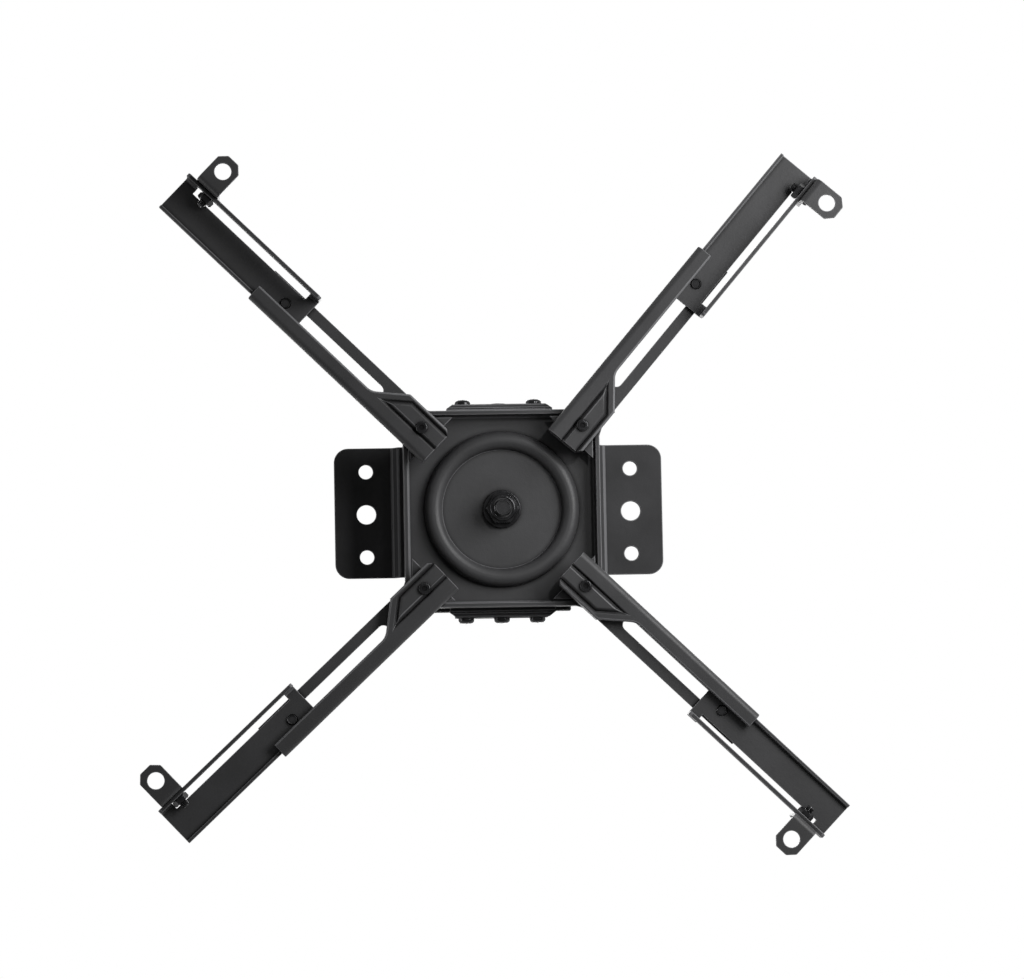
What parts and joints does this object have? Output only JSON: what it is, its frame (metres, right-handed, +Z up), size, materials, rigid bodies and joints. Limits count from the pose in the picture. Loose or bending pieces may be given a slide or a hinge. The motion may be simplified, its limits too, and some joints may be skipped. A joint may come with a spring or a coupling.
{
  "type": "projector ceiling mount",
  "caption": "Low ceiling mount for a projector: eared bracket, tilting yoke, swivelling hub and telescopic arms with slotted feet.",
  "frame": {"origin": "centre of the ceiling bracket's hole pattern, on the ceiling plane", "axes": "+Z up into the ceiling, +X along the line of the two ears, +Y along the tilt axis; the part hangs below Z = 0"},
  "size_m": [0.3188, 0.3171, 0.051],
  "materials": {
    "black_coating": "fine-textured satin black powder coat",
    "black_hardware": "black plated steel",
    "nylon": "black nylon"
  },
  "bodies": {
    "ceiling": {"ceiling_bracket": "black_coating", "friction_plate_back": "nylon", "friction_plate_front": "nylon", "tilt_screw_back_left": "black_hardware", "tilt_screw_back_right": "black_hardware", "tilt_screw_front_left": "black_hardware", "tilt_screw_front_right": "black_hardware", "tilt_nut_back_left": "black_hardware", "tilt_nut_back_right": "black_hardware", "tilt_nut_front_left": "black_hardware", "tilt_nut_front_right": "black_hardware", "tilt_rivet_back": "black_hardware", "tilt_pivot_front": "black_hardware", "tilt_pivot_nut": "black_hardware"},
    "yoke": {"yoke": "black_coating", "swivel_bolt": "black_hardware", "swivel_washer": "nylon", "swivel_disc": "black_coating", "lock_washer": "black_hardware", "lock_nut": "black_hardware", "nylon_ring": "nylon"},
    "tray": {"hub_tray": "black_coating", "arm_rivet_back_right": "black_hardware", "arm_washer_back_right": "nylon", "arm_rivet_front_right": "black_hardware", "arm_washer_front_right": "nylon", "arm_rivet_front_left": "black_hardware", "arm_washer_front_left": "nylon", "arm_rivet_back_left": "black_hardware", "arm_washer_back_left": "nylon"},
    "inner_back_right": {"inner_arm_back_right": "black_coating"},
    "outer_back_right": {"outer_arm_back_right": "black_coating", "clamp_screw_back_right": "black_hardware", "clamp_washer_back_right": "black_hardware"},
    "foot_screw_back_right": {"foot_screw_back_right": "black_hardware", "foot_nut_back_right": "black_hardware"},
    "foot_back_right": {"foot_back_right": "black_coating"},
    "inner_front_right": {"inner_arm_front_right": "black_coating"},
    "outer_front_right": {"outer_arm_front_right": "black_coating", "clamp_screw_front_right": "black_hardware", "clamp_washer_front_right": "black_hardware"},
    "foot_screw_front_right": {"foot_screw_front_right": "black_hardware", "foot_nut_front_right": "black_hardware"},
    "foot_front_right": {"foot_front_right": "black_coating"},
    "inner_front_left": {"inner_arm_front_left": "black_coating"},
    "outer_front_left": {"outer_arm_front_left": "black_coating", "clamp_screw_front_left": "black_hardware", "clamp_washer_front_left": "black_hardware"},
    "foot_screw_front_left": {"foot_screw_front_left": "black_hardware", "foot_nut_front_left": "black_hardware"},
    "foot_front_left": {"foot_front_left": "black_coating"},
    "inner_back_left": {"inner_arm_back_left": "black_coating"},
    "outer_back_left": {"outer_arm_back_left": "black_coating", "clamp_screw_back_left": "black_hardware", "clamp_washer_back_left": "black_hardware"},
    "foot_screw_back_left": {"foot_screw_back_left": "black_hardware", "foot_nut_back_left": "black_hardware"},
    "foot_back_left": {"foot_back_left": "black_coating"}
  },
  "joints": [
    {"name": "tilt", "type": "hinge", "parent": "ceiling", "child": "yoke", "pos_m": [0, 0, -0.011], "axis": [0, 1, 0], "range_deg": [-8, 8]},
    {"name": "swivel", "type": "hinge", "parent": "yoke", "child": "tray", "pos_m": [0, 0, -0.0228], "axis": [0, 0, 1], "continuous": true},
    {"name": "arm_turn_back_right", "type": "hinge", "parent": "tray", "child": "inner_back_right", "pos_m": [0.03615, -0.03615, -0.0324], "axis": [0, 0, 1], "range_deg": [-30.4, 39.6]},
    {"name": "arm_reach_back_right", "type": "slide", "parent": "inner_back_right", "child": "outer_back_right", "axis": [0.6481, -0.7615, 0], "range_m": [-0.04, 0.003]},
    {"name": "foot_along_back_right", "type": "slide", "parent": "outer_back_right", "child": "foot_screw_back_right", "axis": [0.6481, -0.7615, 0], "range_m": [-0.06, 0]},
    {"name": "foot_height_back_right", "type": "slide", "parent": "foot_screw_back_right", "child": "foot_back_right", "axis": [0, 0, 1], "range_m": [-0.0035, 0.0035]},
    {"name": "arm_turn_front_right", "type": "hinge", "parent": "tray", "child": "inner_front_right", "pos_m": [0.03615, 0.03615, -0.0324], "axis": [0, 0, 1], "range_deg": [-33.8, 36.2]},
    {"name": "arm_reach_front_right", "type": "slide", "parent": "inner_front_right", "child": "outer_front_right", "axis": [0.7218, 0.6921, 0], "range_m": [-0.04, 0.003]},
    {"name": "foot_along_front_right", "type": "slide", "parent": "outer_front_right", "child": "foot_screw_front_right", "axis": [0.7218, 0.6921, 0], "range_m": [-0.0566, 0.0034]},
    {"name": "foot_height_front_right", "type": "slide", "parent": "foot_screw_front_right", "child": "foot_front_right", "axis": [0, 0, 1], "range_m": [-0.0035, 0.0035]},
    {"name": "arm_turn_front_left", "type": "hinge", "parent": "tray", "child": "inner_front_left", "pos_m": [-0.03615, 0.03615, -0.0324], "axis": [0, 0, 1], "range_deg": [-36.9, 33.1]},
    {"name": "arm_reach_front_left", "type": "slide", "parent": "inner_front_left", "child": "outer_front_left", "axis": [-0.7302, 0.6833, 0], "range_m": [-0.04, 0.003]},
    {"name": "foot_along_front_left", "type": "slide", "parent": "outer_front_left", "child": "foot_screw_front_left", "axis": [-0.7302, 0.6833, 0], "range_m": [-0.0583, 0.0017]},
    {"name": "foot_height_front_left", "type": "slide", "parent": "foot_screw_front_left", "child": "foot_front_left", "axis": [0, 0, 1], "range_m": [-0.0035, 0.0035]},
    {"name": "arm_turn_back_left", "type": "hinge", "parent": "tray", "child": "inner_back_left", "pos_m": [-0.03615, -0.03615, -0.0324], "axis": [0, 0, 1], "range_deg": [-34.3, 35.7]},
    {"name": "arm_reach_back_left", "type": "slide", "parent": "inner_back_left", "child": "outer_back_left", "axis": [-0.7157, -0.6984, 0], "range_m": [-0.04, 0.003]},
    {"name": "foot_along_back_left", "type": "slide", "parent": "outer_back_left", "child": "foot_screw_back_left", "axis": [-0.7157, -0.6984, 0], "range_m": [-0.0559, 0.0041]},
    {"name": "foot_height_back_left", "type": "slide", "parent": "foot_screw_back_left", "child": "foot_back_left", "axis": [0, 0, 1], "range_m": [-0.0035, 0.0035]}
  ]
}
